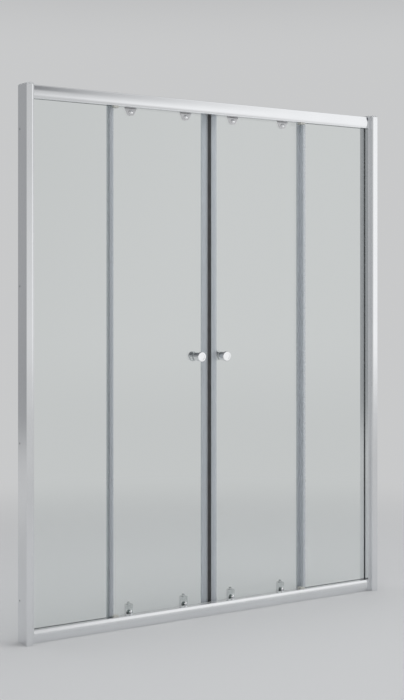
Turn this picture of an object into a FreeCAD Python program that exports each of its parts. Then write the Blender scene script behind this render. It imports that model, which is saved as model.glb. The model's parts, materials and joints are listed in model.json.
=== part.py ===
import FreeCAD
import Part
import math
import os
import Sketcher

# A four-panel sliding shower door for an alcove: two fixed end panes and two doors that part in the
# middle, in a frame of two jambs, a header rail and a bottom rail.
# X runs along the door, -Y faces the room, +Y faces the shower and +Z is up, in millimetres.
# The origin is the middle of the bottom rail's underside. Pieces are drawn for the left half,
# and the right half mirrors them.

SIZES = {
    # The opening that the whole door fills
    "overall_width": 1500,
    "overall_height": 1850,
    # Glass and what holds its edges
    "glass_thickness": 6,
    "gasket_wall": 2,
    "gasket_recess": 1,
    "fixed_glass_edge": 410,
    "door_glass_front": 11,
    "door_glass_inner_edge": 10,
    "door_glass_outer_edge": 417,
    "door_glass_bottom": 22,
    "door_glass_top_gap": 10,
    "fit_gap": 0.1,
    # Rail extrusion, used upright as the header and turned over as the bottom rail
    "rail_height": 44,
    "rail_front_depth": 22,
    "rail_rear_depth": 20,
    "rail_bulge": 3,
    "rail_lip": 2.5,
    "rail_edge_round": 1,
    "rail_wall": 2,
    "rail_slot_depth": 18,
    "rear_lip_height": 6,
    "ledge_height": 4,
    "track_centre": 5.8,
    "rib_width": 2,
    "rib_height": 4,
    "rib_round": 0.8,
    "port_depth": 17.5,
    "port_outer_radius": 3.5,
    "port_bore_radius": 1.8,
    "port_bite": 0.5,
    # Wall channel and the post that telescopes into it
    "jamb_wall": 2,
    "channel_reach": 25,
    "channel_front": 42,
    "channel_rear": 24,
    "bulb_depth": 14,
    "bulb_round": 5,
    "bulb_inner_round": 3,
    "post_start": 8,
    "post_reach": 34,
    "post_gap": 0.5,
    "post_slot_depth": 14,
    "rail_rise": 1,
    "cap_thickness": 5,
    "cap_round": 4.5,
    "cap_plug_length": 10,
    "cap_plug_gap": 0.3,
    # Screws
    "wall_hole_radius": 2.75,
    "wall_hole_depth": 10,
    "wall_hole_low": 140,
    "wall_hole_high_gap": 145,
    "corner_screw_radius": 1.75,
    "corner_screw_length": 24,
    "corner_head_radius": 3.6,
    "corner_head_height": 2.4,
    "channel_screw_radius": 2,
    "channel_screw_length": 12,
    "channel_screw_reach": 16,
    "channel_screw_low": 300,
    "channel_screw_high_gap": 295,
    "channel_head_radius": 3.8,
    "channel_head_height": 2.4,
    "screw_hole_gap": 0.1,
    "screw_cap_radius": 6,
    "screw_cap_wall": 1.2,
    # Fixed edge strip, slot cover and corner clip
    "strip_wall": 2,
    "strip_base": 3,
    "strip_length": 15,
    "strip_end_gap": 5,
    "fin_thickness": 1.4,
    "fixed_fin_reach": 8.2,
    "fixed_fin_low_gap": 22,
    "fixed_fin_high_gap": 36,
    "cover_wall": 1.4,
    "cover_depth": 12,
    "clip_inner_edge": 391,
    "clip_outer_edge": 413,
    "clip_height": 7,
    "clip_taper": 1.8,
    "clip_front": 21,
    "clip_plug_depth": 16,
    "clip_gap": 0.3,
    "clip_round": 1.5,
    # Magnet seal, rear seal and knobs of a door
    "seal_wall": 1.8,
    "carrier_base": 2.5,
    "carrier_length": 21.5,
    "magnet_width": 8,
    "magnet_gap": 0.2,
    "tongue_width": 4,
    "tongue_length": 2.5,
    "rear_seal_base": 3,
    "rear_seal_length": 17,
    "door_fin_front": 1,
    "door_fin_end_gap": 8,
    "knob_offset": 54,
    "knob_height": 930,
    "knob_radius": 18,
    "outer_knob_projection": 36,
    "inner_knob_projection": 25,
    "knob_head_depth": 8,
    "knob_body_radius": 15,
    "knob_waist_radius": 13.5,
    "knob_waist_width": 1.6,
    "knob_round": 2.5,
    "knob_dish_radius": 11,
    "knob_dish_depth": 0.8,
    "stud_radius": 4,
    "stud_bite": 9,
    "knob_hole_radius": 6,
    "bush_flange": 1,
    "bush_radius": 14,
    # Rollers
    "roller_inner": 102,
    "roller_outer": 328,
    "wheel_radius": 11,
    "wheel_tread_radius": 8.2,
    "wheel_width": 4.8,
    "wheel_track_gap": 0.3,
    "groove_half_width": 1.35,
    "groove_flare": 0.3,
    "wheel_hub_radius": 4.5,
    "wheel_rim_radius": 7,
    "wheel_web_depth": 0.8,
    "wheel_spacing": 40,
    "axle_radius": 2,
    "axle_gap": 0.1,
    "axle_side_gap": 0.2,
    "axle_head_radius": 3.5,
    "axle_head_height": 0.8,
    "collar_radius": 3,
    "bracket_plate": 2,
    "bracket_margin": 9.5,
    "bracket_round": 5,
    "bracket_foot_width": 22,
    "bracket_foot_drop": 11,
    "top_bolt_drop": 14,
    "bolt_hole_radius": 6,
    "bracket_boss_radius": 5.8,
    "top_bolt_radius": 3,
    "top_cap_radius": 7.5,
    "top_cap_height": 4,
    "bolt_gap": 0.2,
    "nut_radius": 11,
    "nut_height": 7,
    "nut_bite": 4,
    # Quick-release bottom rollers
    "release_travel": 6,
    "bottom_bolt_height": 47,
    "bottom_bolt_radius": 2.5,
    "bottom_bolt_bite": 4.5,
    "bottom_head_radius": 6,
    "bottom_head_height": 3,
    "bottom_hole_radius": 4.5,
    "housing_boss_radius": 4.3,
    "housing_width": 26,
    "housing_depth": 18,
    "housing_bottom": 34,
    "housing_top": 72,
    "housing_round": 6,
    "rod_set_back": 9,
    "rod_radius": 3,
    "rod_gap": 0.2,
    "spring_seat": 54,
    "spring_reserve": 3,
    "spring_well_radius": 6,
    "spring_radius": 4.5,
    "spring_wire_radius": 0.5,
    "button_radius": 5.7,
    "button_height": 12,
    "button_round": 2,
    "foot_drop": 4,
    "foot_wall": 4,
    "foot_width": 16,
    "arm_wall": 1.8,
    "arm_gap": 0.3,
    "arm_margin": 6.5,
    # Stops in the header's track
    "stop_gap": 0.5,
    "stop_end_gap": 62.5,
    "stop_length": 14,
    "stop_height": 20,
    "stop_depth": 8.6,
}

# Counts
WALL_HOLES = 4
CHANNEL_SCREWS = 3
SPRING_TURNS = 5

doc = FreeCAD.newDocument("shower_door")
sheet = doc.addObject("Spreadsheet::Sheet", "sizes")
nodes = []

TO_WALL = FreeCAD.Rotation(FreeCAD.Vector(0, 1, 0), -90)
TO_ROOM = FreeCAD.Rotation(FreeCAD.Vector(1, 0, 0), 90)
TO_SHOWER = FreeCAD.Rotation(FreeCAD.Vector(1, 0, 0), -90)
TURNED_OVER = FreeCAD.Rotation(FreeCAD.Vector(0, 1, 0), 180)
UPRIGHT = FreeCAD.Rotation()


class Size:
    """A length that holds its number and the sheet formula that gives it."""

    def __init__(self, number, formula):
        self.number = number
        self.formula = formula

    def __add__(self, other):
        other = as_size(other)
        return Size(self.number + other.number, f"({self.formula} + {other.formula})")

    def __sub__(self, other):
        other = as_size(other)
        return Size(self.number - other.number, f"({self.formula} - {other.formula})")

    def __mul__(self, other):
        other = as_size(other)
        return Size(self.number * other.number, f"({self.formula} * {other.formula})")

    def __truediv__(self, other):
        other = as_size(other)
        return Size(self.number / other.number, f"({self.formula} / {other.formula})")

    def __neg__(self):
        return Size(-self.number, f"(0 - {self.formula})")


def as_size(value):
    """A plain number as a Size, and a Size as it is."""
    if isinstance(value, Size):
        return value
    return Size(float(value), str(float(value)))


class Table:
    """The driving sizes as attributes, each written once in a named cell of the sheet."""

    def __init__(self, numbers):
        for row, (name, number) in enumerate(numbers.items(), start=1):
            sheet.set(f"A{row}", name)
            sheet.set(f"B{row}", str(number))
            sheet.setAlias(f"B{row}", name)
            setattr(self, name, Size(float(number), f"sizes.{name}"))


d = Table(SIZES)
doc.recompute()


def bind(item, name, value):
    """Tie a property to the sheet."""
    item.setExpression(name, as_size(value).formula)


def place(item, x=0, y=0, z=0, turn=UPRIGHT):
    """Turn a piece and tie its position to the sheet."""
    item.Placement = FreeCAD.Placement(FreeCAD.Vector(), turn)
    for axis, value in zip("xyz", (x, y, z)):
        if isinstance(value, Size):
            bind(item, f"Placement.Base.{axis}", value)
    return item


def keep(item, label):
    """Name a finished piece and list it for writing out."""
    item.Label = label
    nodes.append(item)
    return item


class Bow:
    """Marks the side that leaves a corner as an arc that stands a rise to its left."""

    def __init__(self, rise):
        self.rise = as_size(rise)


class Dome:
    """Marks the side that leaves a corner as a round cap that closes on the axis of a turned piece."""


def new_body(label):
    """An empty solid body."""
    body = doc.addObject("PartDesign::Body", label)
    body.Label = label
    return body


def new_sketch(body, plane, offset=0):
    """A sketch on one of the body's own planes, an offset away along the axis square to it."""
    support = next(item for item in body.Origin.OriginFeatures if item.Role == f"{plane}_Plane")
    sketch = body.newObject("Sketcher::SketchObject", "Sketch")
    sketch.AttachmentSupport = (support, [""])
    sketch.MapMode = "FlatFace"
    if isinstance(offset, Size):
        bind(sketch, "AttachmentOffset.Base.z", -offset if plane == "XZ" else offset)
    return sketch


def step(corner, target, distance):
    """The point a distance from a corner on the way to the next corner, which lies along an axis."""
    x, y = as_size(corner[0]), as_size(corner[1])
    run = as_size(target[0]).number - x.number
    rise = as_size(target[1]).number - y.number
    if abs(run) > abs(rise):
        return x + as_size(distance) * math.copysign(1, run), y
    return x, y + as_size(distance) * math.copysign(1, rise)


def rounded_side(corner, start, end, radius):
    """The side that rounds a right-angled corner: its radius, its centre and whether it turns clockwise."""
    x, y = as_size(corner[0]).number, as_size(corner[1]).number
    centre = FreeCAD.Vector(start[0].number + end[0].number - x, start[1].number + end[1].number - y)
    turn = (x - start[0].number) * (end[1].number - y) - (y - start[1].number) * (end[0].number - x)
    return as_size(radius), centre, turn < 0


def bowed_side(start, end, rise):
    """The same for a side that bows to its left, or to its right where the rise is negative."""
    run, climb = end[0] - start[0], end[1] - start[1]
    chord_squared = run * run + climb * climb
    signed_radius = (chord_squared / 4 + rise * rise) / (rise * 2)
    chord = math.sqrt(chord_squared.number)
    left = FreeCAD.Vector(-climb.number / chord, run.number / chord)
    middle = FreeCAD.Vector((start[0] + end[0]).number / 2, (start[1] + end[1]).number / 2)
    centre = middle + left * (rise.number - signed_radius.number)
    clockwise = rise.number > 0
    return (signed_radius if clockwise else -signed_radius), centre, clockwise


def domed_side(start, end):
    """The same for a side that is part of a ball centred on the axis."""
    run, climb = start[0], end[1] - start[1]
    radius = (run * run + climb * climb) / (climb * 2)
    return radius, FreeCAD.Vector(0, (end[1] - radius).number), False


def outline_points(corners):
    """The points of an outline, and for each curved side its radius, centre and turn."""
    points, curved = [], {}
    for index, corner in enumerate(corners):
        mark = corner[2] if len(corner) > 2 else None
        here = as_size(corner[0]), as_size(corner[1])
        following = corners[(index + 1) % len(corners)]
        end = as_size(following[0]), as_size(following[1])
        if isinstance(mark, Bow):
            curved[len(points)] = bowed_side(here, end, mark.rise)
        elif isinstance(mark, Dome):
            curved[len(points)] = domed_side(here, end)
        elif mark is not None:
            start, end = step(corner, corners[index - 1], mark), step(corner, following, mark)
            curved[len(points)] = rounded_side(corner, start, end, mark)
            points += [start, end]
            continue
        points.append(here)
    return points, curved


def side_curve(start, end, curve):
    """A straight or curved side, with the numbers that a sketch gives to its first and last end."""
    first = FreeCAD.Vector(start[0].number, start[1].number)
    last = FreeCAD.Vector(end[0].number, end[1].number)
    if curve is None:
        return Part.LineSegment(first, last), 1, 2
    radius, centre, clockwise = curve
    circle = Part.Circle(centre, FreeCAD.Vector(0, 0, 1), radius.number)
    angles = [math.atan2(point.y - centre.y, point.x - centre.x) for point in (first, last)]
    if clockwise:
        return Part.ArcOfCircle(circle, angles[1], angles[0]), 2, 1
    return Part.ArcOfCircle(circle, angles[0], angles[1]), 1, 2


def constrain(sketch, wanted):
    """Add constraints, each with the size that drives it, or None where it has none."""
    indices = sketch.addConstraint([constraint for constraint, _ in wanted])
    for index, (_, value) in zip(indices, wanted):
        if value is not None:
            bind(sketch, f"Constraints[{index}]", value)


def fixed_point(geometry, end, x, y):
    """The two constraints that tie one point of a sketch to the sheet."""
    return [
        (Sketcher.Constraint("DistanceX", -1, 1, geometry, end, x.number), x),
        (Sketcher.Constraint("DistanceY", -1, 1, geometry, end, y.number), y),
    ]


def draw(sketch, corners):
    """Draw a closed outline and tie it to the sheet.

    A corner is (x, y), or (x, y, radius) to round it, or (x, y, Bow(rise)) or (x, y, Dome()) to curve
    the side after it.
    """
    points, curved = outline_points(corners)
    count = len(points)
    ends = []
    wanted = []
    for index, point in enumerate(points):
        following = points[(index + 1) % count]
        curve, start_end, last_end = side_curve(point, following, curved.get(index))
        geometry = sketch.addGeometry(curve, False)
        ends.append((geometry, start_end, last_end))
        wanted += fixed_point(geometry, start_end, *point)
        if index in curved:
            radius = curved[index][0]
            wanted.append((Sketcher.Constraint("Radius", geometry, radius.number), radius))
    for index in range(count):
        geometry, _, last_end = ends[index]
        after, start_end, _ = ends[(index + 1) % count]
        wanted.append((Sketcher.Constraint("Coincident", geometry, last_end, after, start_end), None))
    constrain(sketch, wanted)
    return sketch


def draw_circle(sketch, x, y, radius):
    """Draw a circle and tie it to the sheet."""
    x, y, radius = as_size(x), as_size(y), as_size(radius)
    circle = Part.Circle(FreeCAD.Vector(x.number, y.number), FreeCAD.Vector(0, 0, 1), radius.number)
    geometry = sketch.addGeometry(circle, False)
    size = [(Sketcher.Constraint("Radius", geometry, radius.number), radius)]
    constrain(sketch, fixed_point(geometry, 3, x, y) + size)
    return sketch


def box_corners(left, low, right, high):
    """The corners of a rectangle."""
    return [(left, low), (right, low), (right, high), (left, high)]


def pad(body, sketch, length, middle=False):
    """Extrude a sketch: away from its plane (towards -Y from XZ), or evenly to both sides."""
    feature = body.newObject("PartDesign::Pad", "Pad")
    feature.Profile = sketch
    bind(feature, "Length", length)
    if middle:
        feature.SideType = "Symmetric"
    return feature


def cut(body, sketch, length):
    """Remove a sketch's area over a length centred on its plane."""
    feature = body.newObject("PartDesign::Pocket", "Pocket")
    feature.Profile = sketch
    feature.SideType = "Symmetric"
    bind(feature, "Length", length)
    return feature


def drill(body, plane, offset, length, circles):
    """Drill round holes, each (x, y, radius), over a length centred on an offset plane."""
    sketch = new_sketch(body, plane, offset)
    for circle in circles:
        draw_circle(sketch, *circle)
    return cut(body, sketch, length)


def near_point(point):
    """A point with its last stray digits taken off."""
    return FreeCAD.Vector(*(round(value, 4) for value in point))


def round_edges(body, feature, radius, chosen):
    """Round the edges of a feature whose two ends pass a test."""
    names = []
    for number, edge in enumerate(feature.Shape.Edges, start=1):
        start, end = (near_point(vertex.Point) for vertex in (edge.Vertexes[0], edge.Vertexes[-1]))
        if start != end and chosen(start, end):
            names.append(f"Edge{number}")
    fillet = body.newObject("PartDesign::Fillet", "Fillet")
    fillet.Base = (feature, names)
    bind(fillet, "Radius", radius)
    return fillet


def turned(label, corners):
    """A piece turned about its own Z axis from an outline of (radius, height) corners."""
    body = new_body(label)
    sketch = draw(new_sketch(body, "XZ"), corners)
    feature = body.newObject("PartDesign::Revolution", "Revolution")
    feature.Profile = sketch
    feature.ReferenceAxis = (sketch, ["V_Axis"])
    feature.Angle = 360
    return body


def mirrored(item, label):
    """The right-hand partner of a left-hand piece."""
    partner = doc.addObject("Part::Mirroring", label)
    partner.Source = item
    partner.Normal = FreeCAD.Vector(1, 0, 0)
    partner.Label = label
    return partner


def again(item, x=0, y=0, z=0, turn=UPRIGHT):
    """Another copy of a piece in its own place."""
    copy = doc.addObject("App::Link", "copy")
    copy.LinkedObject = item
    return place(copy, x, y, z, turn)


def gather(items, label):
    """Several separate solids as one named group."""
    group = doc.addObject("Part::Compound", label)
    group.Links = items
    group.Label = label
    return group


def both_sides(item, label):
    """Keep a left-hand piece and its right-hand partner."""
    keep(item, f"left_{label}")
    keep(mirrored(item, f"right_{label}"), f"right_{label}")


def both_halves(items, label):
    """Keep pieces of the left half and their partners in the right half as one group."""
    left = gather(items, f"left_half_of_{label}")
    keep(gather([left, mirrored(left, f"right_half_of_{label}")], label), label)


def spread(first, last, count):
    """Evenly spaced levels from the first to the last."""
    pitch = (last - first) / (count - 1)
    return [first + pitch * index for index in range(count)]


# Places that several pieces share
half_width = d.overall_width / 2
jamb_height = d.overall_height - d.cap_thickness
header_lip = jamb_height + d.rail_rise - d.rail_height
slot_width = d.glass_thickness + d.gasket_wall * 2
fixed_rear = -d.gasket_wall
fixed_front = fixed_rear - d.glass_thickness
post_face = d.post_reach - half_width
post_front = -d.channel_front + d.bulb_depth + d.post_gap
post_rear = d.channel_rear - d.jamb_wall - d.post_gap
slot_back = d.post_reach - d.post_slot_depth
fixed_glass_low = d.rail_height - d.rail_slot_depth + d.gasket_wall
fixed_glass_high = header_lip + d.rail_slot_depth - d.gasket_wall
ledge_top = d.ledge_height + d.rail_wall
rib_top = ledge_top + d.rib_height
port_inset = d.rail_wall + d.port_outer_radius - d.port_bite
port_levels = [port_inset, d.rail_height - port_inset]
corner_levels = [header_lip + level for level in port_levels]
corner_levels += [d.rail_height - level for level in port_levels]
wall_hole_levels = spread(d.wall_hole_low, jamb_height - d.wall_hole_high_gap, WALL_HOLES)
channel_screw_levels = spread(d.channel_screw_low, jamb_height - d.channel_screw_high_gap, CHANNEL_SCREWS)
door_rear = d.door_glass_front + d.glass_thickness
door_glass_top = header_lip + d.rail_height - d.door_glass_top_gap
door_glass_height = door_glass_top - d.door_glass_bottom
roller_places = {"inner": -d.roller_inner, "outer": -d.roller_outer}
roll_offset = rib_top + d.wheel_track_gap + d.wheel_tread_radius
top_axle_height = header_lip + roll_offset
bottom_axle_height = d.rail_height - roll_offset
top_bolt_height = header_lip - d.top_bolt_drop
wheel_rear = d.track_centre + d.wheel_width / 2
wheel_front = d.track_centre - d.wheel_width / 2
rod_line = door_rear + d.rod_set_back
spring_length = d.spring_wire_radius * 2 * SPRING_TURNS + d.release_travel + d.spring_reserve


def both_rails(item, label):
    """A piece of the header's left half, repeated in both halves of both rails."""
    place(item, z=header_lip)
    above = again(item, z=header_lip)
    turned_over = gather([again(item, z=d.rail_height, turn=TURNED_OVER)], f"{label}_turned_over")
    below = mirrored(turned_over, f"{label}_below")
    both_halves([above, below], label)


def rail_outline():
    """The rail's section: convex front between lips, glazing slot, roller track with its rib, rear lip."""
    wall, top = d.rail_wall, d.rail_height
    front, rear = -d.rail_front_depth, d.rail_rear_depth
    rib_near = d.track_centre - d.rib_width / 2
    rib_far = d.track_centre + d.rib_width / 2
    return [
        (front, 0, d.rail_edge_round), (front, d.rail_lip, Bow(d.rail_bulge)), (front, top - d.rail_lip),
        (front, top, d.rail_edge_round), (rear, top), (rear, top - d.rear_lip_height),
        (rear - wall, top - d.rear_lip_height), (rear - wall, top - wall), (wall, top - wall),
        (wall, ledge_top), (rib_near, ledge_top), (rib_near, rib_top, d.rib_round),
        (rib_far, rib_top, d.rib_round), (rib_far, d.ledge_height), (wall, d.ledge_height),
        (wall, 0), (0, 0), (0, d.rail_slot_depth), (-slot_width, d.rail_slot_depth), (-slot_width, 0),
    ]


def rail_hollow():
    """The closed chamber behind the convex front."""
    wall, top = d.rail_wall, d.rail_height
    front, roof = wall - d.rail_front_depth, d.rail_slot_depth + wall
    return [
        (front, wall, Bow(d.rail_bulge)), (front, top - wall), (0, top - wall), (0, roof),
        (-slot_width - wall, roof), (-slot_width - wall, wall),
    ]


def make_rail(label, z, turn):
    """One length of rail, with the ports for its corner screws."""
    length = -post_face * 2
    body = new_body(label)
    section = draw(new_sketch(body, "YZ"), rail_outline())
    pad(body, draw(section, rail_hollow()), length, middle=True)
    ports = new_sketch(body, "YZ")
    for level in port_levels:
        draw_circle(ports, -d.port_depth, level, d.port_outer_radius)
    pad(body, ports, length, middle=True)
    bores = [(-d.port_depth, level, d.port_bore_radius) for level in port_levels]
    drill(body, "YZ", 0, length, bores)
    keep(place(body, z=z, turn=turn), label)


def make_wall_channel():
    """The channel that screws to the wall, with a rounded hollow bulb along its front."""
    wall, reach, front, rear = d.jamb_wall, d.channel_reach, -d.channel_front, d.channel_rear
    bulb_rear = front + d.bulb_depth
    body = new_body("left_wall_channel")
    section = draw(new_sketch(body, "XY"), [
        (0, front), (reach, front, d.bulb_round), (reach, bulb_rear), (wall, bulb_rear),
        (wall, rear - wall), (reach, rear - wall), (reach, rear), (0, rear),
    ])
    draw(section, [
        (wall, front + wall), (reach - wall, front + wall, d.bulb_inner_round),
        (reach - wall, bulb_rear - wall), (wall, bulb_rear - wall),
    ])
    pad(body, section, jamb_height)
    holes = [(d.wall_hole_depth, level, d.wall_hole_radius) for level in wall_hole_levels]
    drill(body, "YZ", wall / 2, wall * 2, holes)
    screw_hole = d.channel_screw_radius + d.screw_hole_gap
    holes = [(d.channel_screw_reach, level, screw_hole) for level in channel_screw_levels]
    drill(body, "XZ", rear - wall / 2, wall * 2, holes)
    return place(body, x=-half_width)


def make_jamb_post():
    """The post that slides into the wall channel and takes the fixed glass in its slot."""
    wall, start, reach = d.jamb_wall, d.post_start, d.post_reach
    front, rear = post_front, post_rear
    body = new_body("left_jamb_post")
    section = draw(new_sketch(body, "XY"), [
        (start, front), (reach, front), (reach, -slot_width), (slot_back, -slot_width), (slot_back, 0),
        (reach, 0), (reach, rear), (start, rear), (start, rear - wall), (reach - wall, rear - wall),
        (reach - wall, wall), (slot_back - wall, wall), (slot_back - wall, -slot_width - wall),
        (reach - wall, -slot_width - wall), (reach - wall, front + wall), (start, front + wall),
    ])
    pad(body, section, jamb_height)
    corner_hole = d.corner_screw_radius + d.screw_hole_gap
    holes = [(-d.port_depth, level, corner_hole) for level in corner_levels]
    drill(body, "YZ", reach - wall / 2, wall * 2, holes)
    screw_hole = d.channel_screw_radius + d.screw_hole_gap
    holes = [(d.channel_screw_reach, level, screw_hole) for level in channel_screw_levels]
    drill(body, "XZ", rear - wall / 2, wall * 2, holes)
    return place(body, x=-half_width)


def make_end_caps():
    """Caps that close the tops of the jambs, round at the wall, and plug into the channels' bulbs."""
    wall, front, gap = d.jamb_wall, -d.channel_front, d.cap_plug_gap
    bulb_rear, top = front + d.bulb_depth, d.overall_height.number
    body = new_body("left_end_cap")
    plate = draw(new_sketch(body, "XY", jamb_height), [
        (0, front), (d.channel_reach, front, d.bulb_round), (d.channel_reach, bulb_rear),
        (d.post_reach, bulb_rear), (d.post_reach, post_rear), (d.channel_reach, post_rear),
        (d.channel_reach, d.channel_rear), (0, d.channel_rear),
    ])
    block = pad(body, plate, d.cap_thickness)
    doc.recompute()

    def along_wall(start, end):
        return start.x == end.x == 0 and start.z == end.z == top

    round_edges(body, block, d.cap_round, along_wall)
    inset = wall + gap
    plug = box_corners(inset, front + inset, d.channel_reach - inset, bulb_rear - inset)
    plug[1] += (d.bulb_inner_round,)
    pad(body, draw(new_sketch(body, "XY", jamb_height - d.cap_plug_length), plug), d.cap_plug_length)
    place(body, x=-half_width)
    both_halves([body], "jamb_end_caps")


def make_fixed_glass():
    """A fixed end pane."""
    body = new_body("left_fixed_glass")
    pane = box_corners(slot_back + d.gasket_wall - half_width, fixed_glass_low,
                       -d.fixed_glass_edge, fixed_glass_high)
    pad(body, draw(new_sketch(body, "XZ", fixed_rear), pane), d.glass_thickness)
    return body


def make_jamb_gaskets():
    """Glazing channels between the fixed panes and the posts."""
    mouth, floor = d.post_reach - d.gasket_recess, slot_back + d.gasket_wall
    body = new_body("left_jamb_gasket")
    section = draw(new_sketch(body, "XY", fixed_glass_low), [
        (slot_back, -slot_width), (mouth, -slot_width), (mouth, fixed_front), (floor, fixed_front),
        (floor, fixed_rear), (mouth, fixed_rear), (mouth, 0), (slot_back, 0),
    ])
    pad(body, section, fixed_glass_high - fixed_glass_low)
    place(body, x=-half_width)
    both_halves([body], "jamb_gaskets")


def make_rail_gaskets():
    """Glazing channels between the fixed panes and the rails."""
    depth, floor = d.rail_slot_depth, d.rail_slot_depth - d.gasket_wall
    mouth = d.gasket_recess
    start = post_face - d.gasket_recess / 2
    body = new_body("rail_gasket")
    section = draw(new_sketch(body, "YZ", start), [
        (-slot_width, mouth), (fixed_front, mouth), (fixed_front, floor), (fixed_rear, floor),
        (fixed_rear, mouth), (0, mouth), (0, depth), (-slot_width, depth),
    ])
    pad(body, section, -start - d.fixed_glass_edge)
    both_rails(body, "rail_gaskets")


def make_slot_covers():
    """Snap-in covers for the rails' slots between the fixed panes."""
    near, far, wall = -d.fit_gap, d.fit_gap - slot_width, d.cover_wall
    body = new_body("header_slot_cover")
    section = draw(new_sketch(body, "YZ"), [
        (far, 0), (near, 0), (near, d.cover_depth), (near - wall, d.cover_depth), (near - wall, wall),
        (far + wall, wall), (far + wall, d.cover_depth), (far, d.cover_depth),
    ])
    pad(body, section, (d.clip_inner_edge - d.clip_gap) * 2, middle=True)
    place(body, z=header_lip)
    covers = [body, again(body, z=d.rail_height, turn=TURNED_OVER)]
    keep(gather(covers, "slot_cover_strips"), "slot_cover_strips")


def make_edge_strips():
    """Clear profiles on the fixed panes' free edges, each with a fin towards the door behind it."""
    edge, wall = -d.fixed_glass_edge, d.strip_wall
    base, tip = edge + d.strip_base, edge + d.strip_base - d.strip_length
    low, high = d.rail_height + d.strip_end_gap, header_lip - d.strip_end_gap
    body = new_body("left_edge_strip")
    section = draw(new_sketch(body, "XY", low), [
        (tip, fixed_front - wall), (base, fixed_front - wall), (base, fixed_rear + wall),
        (tip, fixed_rear + wall), (tip, fixed_rear), (edge, fixed_rear), (edge, fixed_front),
        (tip, fixed_front),
    ])
    pad(body, section, high - low)
    fin_low, fin_high = d.rail_height + d.fixed_fin_low_gap, header_lip - d.fixed_fin_high_gap
    fin = box_corners(base - d.fin_thickness, fixed_rear, base, d.fixed_fin_reach)
    pad(body, draw(new_sketch(body, "XY", fin_low), fin), fin_high - fin_low)
    both_halves([body], "fixed_edge_strips")


def make_glass_clips():
    """Clips that plug into the rails' slots and hold the fixed panes' free corners."""
    inner, outer, taper, high = -d.clip_inner_edge, -d.clip_outer_edge, d.clip_taper, d.clip_height
    strip_front = fixed_front - d.strip_wall - d.clip_gap
    strip_side = d.strip_base - d.fixed_glass_edge + d.clip_gap
    body = new_body("glass_clip")
    plug = box_corners(d.clip_gap - d.fixed_glass_edge, 0, inner, d.clip_plug_depth)
    pad(body, draw(new_sketch(body, "XZ", -d.fit_gap), plug), slot_width - d.fit_gap * 2)
    rear = [(strip_side, 0), (inner, 0), (inner - taper, -high), (strip_side + taper, -high)]
    pad(body, draw(new_sketch(body, "XZ", 0), rear), -strip_front)
    front = [(outer, 0), (inner, 0), (inner - taper, -high), (outer + taper, -high)]
    nose = pad(body, draw(new_sketch(body, "XZ", strip_front), front), d.clip_front + strip_front)
    doc.recompute()
    face = -d.clip_front.number

    def round_face(start, end):
        return start.y == end.y == face and not start.z == end.z == 0

    round_edges(body, nose, d.clip_round, round_face)
    both_rails(body, "glass_clips")


def make_door_stops():
    """Buffers on the header's track, where an outer and an inner wheel run up at each end of travel."""
    wall, near = d.rail_wall, d.track_centre - d.rib_width / 2 - d.fit_gap
    far, foot = d.track_centre + d.rib_width / 2 + d.fit_gap, ledge_top
    closed_face = d.roller_inner - d.wheel_spacing / 2 - d.wheel_radius - d.stop_gap
    body = new_body("door_stop")
    section = draw(new_sketch(body, "YZ"), [
        (wall + d.fit_gap, foot), (near, foot), (near, rib_top + d.fit_gap), (far, rib_top + d.fit_gap),
        (far, foot), (d.stop_depth, foot), (d.stop_depth, foot + d.stop_height),
        (wall + d.fit_gap, foot + d.stop_height),
    ])
    pad(body, section, d.stop_length)
    place(body, x=post_face + d.stop_end_gap, z=header_lip)
    both_halves([body, again(body, x=-closed_face, z=header_lip)], "door_stops")


def pan_screw(label, radius, length, head_radius, head_height):
    """A pan-head screw, its head standing on Z = 0 and its shank hanging below."""
    return turned(label, [
        (0, -length), (radius, -length), (radius, 0), (head_radius, 0), (head_radius, head_height / 2),
        (head_radius / 2, head_height), (0, head_height),
    ])


def make_corner_screws():
    """Screws from inside the posts into the rails' ports."""
    screw = pan_screw("corner_screw", d.corner_screw_radius, d.corner_screw_length,
                      d.corner_head_radius, d.corner_head_height)
    seat = post_face - d.jamb_wall
    screws = [again(screw, seat, -d.port_depth, level, TO_WALL) for level in corner_levels]
    both_halves(screws, "corner_screws")


def make_channel_screws():
    """Screws through the wall channels' rear flanges into the posts, each under a snap cap."""
    screw = pan_screw("channel_screw", d.channel_screw_radius, d.channel_screw_length,
                      d.channel_head_radius, d.channel_head_height)
    inner, outer = d.channel_head_radius + d.fit_gap, d.screw_cap_radius
    roof = d.channel_head_height + d.fit_gap
    cap = turned("screw_cap", [
        (inner, 0), (outer, 0), (outer, roof / 2, Dome()), (0, roof + d.screw_cap_wall),
        (0, roof), (inner, roof),
    ])
    x = d.channel_screw_reach - half_width
    for item, label in ((screw, "channel_screws"), (cap, "screw_caps")):
        copies = [again(item, x, d.channel_rear, level, TO_SHOWER) for level in channel_screw_levels]
        both_halves(copies, label)


def make_door_glass():
    """A sliding pane with the holes for its knob and its rollers."""
    body = new_body("left_door_glass")
    pane = box_corners(-d.door_glass_outer_edge, d.door_glass_bottom,
                       -d.door_glass_inner_edge, door_glass_top)
    pad(body, draw(new_sketch(body, "XZ", door_rear), pane), d.glass_thickness)
    holes = [(-d.knob_offset, d.knob_height, d.knob_hole_radius)]
    for x in roller_places.values():
        holes.append((x, top_bolt_height, d.bolt_hole_radius))
        holes.append((x, d.bottom_bolt_height, d.bottom_hole_radius))
    drill(body, "XZ", d.door_glass_front + d.glass_thickness / 2, d.glass_thickness * 2, holes)
    return body


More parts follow.
